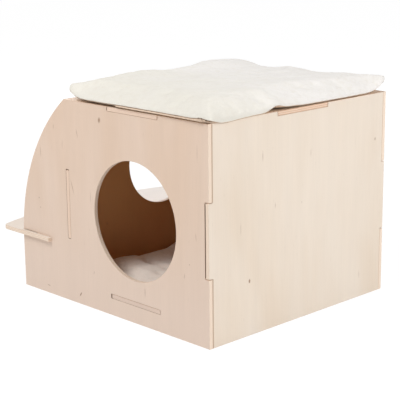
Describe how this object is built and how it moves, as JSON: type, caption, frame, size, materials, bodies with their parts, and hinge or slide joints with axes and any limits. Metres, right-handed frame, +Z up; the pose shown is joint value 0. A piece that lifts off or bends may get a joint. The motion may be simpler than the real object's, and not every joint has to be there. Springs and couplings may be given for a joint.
{
  "type": "wooden cat house",
  "caption": "Plug-together plywood cat house with a round entrance, curved wings with a step board, a flat lift-off roof and plush mats.",
  "frame": {"origin": "on the ground under the middle of the whole object", "axes": "+X along the long side, from the step towards the plain end wall; -Y the side with the large round entrance; +Z up"},
  "size_m": [0.65, 0.499, 0.4403],
  "materials": {
    "plywood": "sanded bare birch",
    "plush": "short cream plush",
    "backing_cloth": "tan woven cloth"
  },
  "bodies": {
    "house": {"front_panel": "plywood", "back_panel": "plywood", "end_panel": "plywood", "partition_panel": "plywood", "floor_panel": "plywood"},
    "roof": {"roof_panel": "plywood"},
    "roof_mat": {"roof_mat_cover": "plush", "roof_mat_backing": "backing_cloth"},
    "floor_mat": {"floor_mat_cover": "plush", "floor_mat_backing": "backing_cloth"},
    "step": {"step_board": "plywood"}
  },
  "joints": [
    {"name": "roof_lift", "type": "slide", "parent": "house", "child": "roof", "axis": [0, 0, 1], "range_m": [0, 0.12]},
    {"name": "roof_mat_lift", "type": "slide", "parent": "roof", "child": "roof_mat", "axis": [0, 0, 1], "range_m": [0, 0.1]},
    {"name": "floor_mat_lift", "type": "slide", "parent": "house", "child": "floor_mat", "axis": [0, 0, 1], "range_m": [0, 0.1]},
    {"name": "step_slide", "type": "slide", "parent": "house", "child": "step", "axis": [-1, 0, 0], "range_m": [0, 0.11]}
  ]
}
